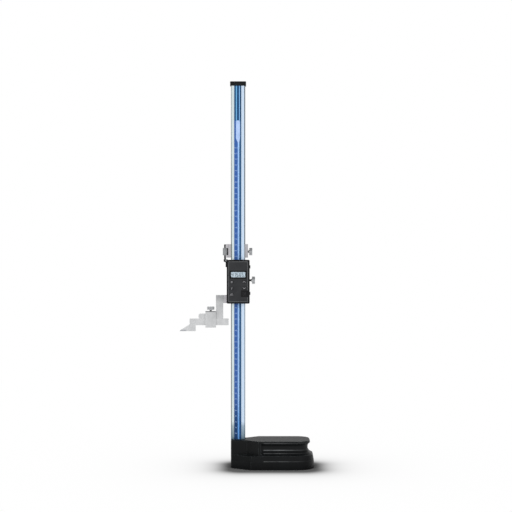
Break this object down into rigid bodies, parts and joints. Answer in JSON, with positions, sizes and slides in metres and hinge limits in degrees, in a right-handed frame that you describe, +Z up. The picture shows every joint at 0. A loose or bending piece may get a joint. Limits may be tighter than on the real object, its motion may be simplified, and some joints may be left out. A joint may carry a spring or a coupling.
{
  "type": "height gauge",
  "caption": "Digital height gauge: cast base, tall steel column with a blue scale, display unit with fine adjustment, stepped jaw and clamped scriber.",
  "frame": {"origin": "foot of the column's axis in the plane of the base's underside", "axes": "+X to the right along the base, +Y away from the user, +Z up along the column"},
  "size_m": [0.47, 0.175, 1.351],
  "materials": {
    "cast_paint": "semi-gloss black enamel on a cast surface",
    "column_steel": "ground and lightly brushed",
    "scale_blue": "printed film, gloss",
    "cap_plastic": "fine grain",
    "carriage_steel": "satin hard chrome",
    "jaw_steel": "satin, bead blasted",
    "scriber_steel": "ground, satin",
    "knob_chrome": "bright, fluted",
    "nut_steel": "knurled",
    "dark_steel": "black oxide",
    "brass": "plain",
    "screw_steel": "zinc plated",
    "housing_plastic": "fine spark texture",
    "face_film": "fine matt film",
    "window_glass": "clear, flat",
    "lcd_grey": "liquid crystal panel",
    "board_green": "solder resist",
    "key_rubber": "matt",
    "cell_steel": "nickel plated",
    "carbide": "lapped hard metal",
    "mat_rubber": "silicone rubber"
  },
  "bodies": {
    "stand": {"base_casting": "cast_paint", "column": "column_steel", "scale_strip": "scale_blue", "column_cap": "cap_plastic", "cap_screws": "dark_steel", "column_bolts": "dark_steel"},
    "carriage": {"carriage_block": "carriage_steel", "carriage_pad": "brass"},
    "adjust_nut": {"adjust_nut": "nut_steel"},
    "carriage_clamp_screw": {"carriage_clamp_screw": "knob_chrome"},
    "slider": {"slider_frame": "carriage_steel", "slider_gib": "brass", "gib_screws": "dark_steel", "spindle_lug": "dark_steel", "lug_bolts": "screw_steel", "adjust_spindle": "dark_steel", "spindle_screw": "screw_steel", "display_back_shell": "housing_plastic", "display_front_shell": "housing_plastic", "housing_screws": "screw_steel", "face_plate": "face_film", "lcd_window": "window_glass", "lcd_panel": "lcd_grey", "lcd_connectors": "mat_rubber", "circuit_board": "board_green", "reader_board": "board_green", "key_mat": "mat_rubber", "battery": "cell_steel", "battery_contact": "cell_steel", "jaw": "jaw_steel", "jaw_screws": "screw_steel"},
    "slider_clamp_screw": {"slider_clamp_screw": "knob_chrome"},
    "battery_cover": {"battery_cover": "housing_plastic"},
    "scriber": {"scriber": "scriber_steel", "carbide_tip": "carbide"},
    "scriber_clamp": {"scriber_clamp": "jaw_steel"},
    "scriber_clamp_screw": {"scriber_clamp_screw": "knob_chrome"},
    "key_left_top": {"key_left_top": "key_rubber"},
    "key_left_middle": {"key_left_middle": "key_rubber"},
    "key_left_bottom": {"key_left_bottom": "key_rubber"},
    "key_right_top": {"key_right_top": "key_rubber"},
    "key_right_bottom": {"key_right_bottom": "key_rubber"}
  },
  "joints": [
    {"name": "carriage_slide", "type": "slide", "parent": "stand", "child": "carriage", "axis": [0, 0, 1], "range_m": [-0.467, 0.55]},
    {"name": "fine_slide", "type": "slide", "parent": "carriage", "child": "slider", "axis": [0, 0, 1], "range_m": [-0.008, 0.005]},
    {"name": "nut_turn", "type": "hinge", "parent": "carriage", "child": "adjust_nut", "pos_m": [-0.0458, 0, 0.7546], "axis": [0, 0, 1], "range_deg": [-1810, 2890]},
    {"name": "carriage_clamp_turn", "type": "hinge", "parent": "carriage", "child": "carriage_clamp_screw", "pos_m": [0.0347, 0, 0.7546], "axis": [1, 0, 0], "range_deg": [-540, 45]},
    {"name": "slider_clamp_turn", "type": "hinge", "parent": "slider", "child": "slider_clamp_screw", "pos_m": [0.03805, 0, 0.654], "axis": [1, 0, 0], "range_deg": [-540, 45]},
    {"name": "battery_cover_slide", "type": "slide", "parent": "slider", "child": "battery_cover", "axis": [1, 0, 0], "range_m": [0, 0.014]},
    {"name": "scriber_slide", "type": "slide", "parent": "slider", "child": "scriber", "axis": [1, 0, 0], "range_m": [-0.04, 0.005]},
    {"name": "scriber_clamp_slide", "type": "slide", "parent": "slider", "child": "scriber_clamp", "axis": [1, 0, 0], "range_m": [-0.02, 0]},
    {"name": "scriber_clamp_turn", "type": "hinge", "parent": "scriber_clamp", "child": "scriber_clamp_screw", "pos_m": [-0.09625, 0, 0.5457], "axis": [0, 0, 1], "range_deg": [-45, 540]},
    {"name": "key_left_top_press", "type": "slide", "parent": "slider", "child": "key_left_top", "axis": [0, 1, 0], "range_m": [0, 0.0008], "stiffness_N_per_m": 1500},
    {"name": "key_left_middle_press", "type": "slide", "parent": "slider", "child": "key_left_middle", "axis": [0, 1, 0], "range_m": [0, 0.0008], "stiffness_N_per_m": 1500},
    {"name": "key_left_bottom_press", "type": "slide", "parent": "slider", "child": "key_left_bottom", "axis": [0, 1, 0], "range_m": [0, 0.0008], "stiffness_N_per_m": 1500},
    {"name": "key_right_top_press", "type": "slide", "parent": "slider", "child": "key_right_top", "axis": [0, 1, 0], "range_m": [0, 0.0008], "stiffness_N_per_m": 1500},
    {"name": "key_right_bottom_press", "type": "slide", "parent": "slider", "child": "key_right_bottom", "axis": [0, 1, 0], "range_m": [0, 0.0008], "stiffness_N_per_m": 1500}
  ],
  "couplings": [
    {"joint": "nut_turn", "follows": "fine_slide", "rad_per_m": -6283.2}
  ]
}
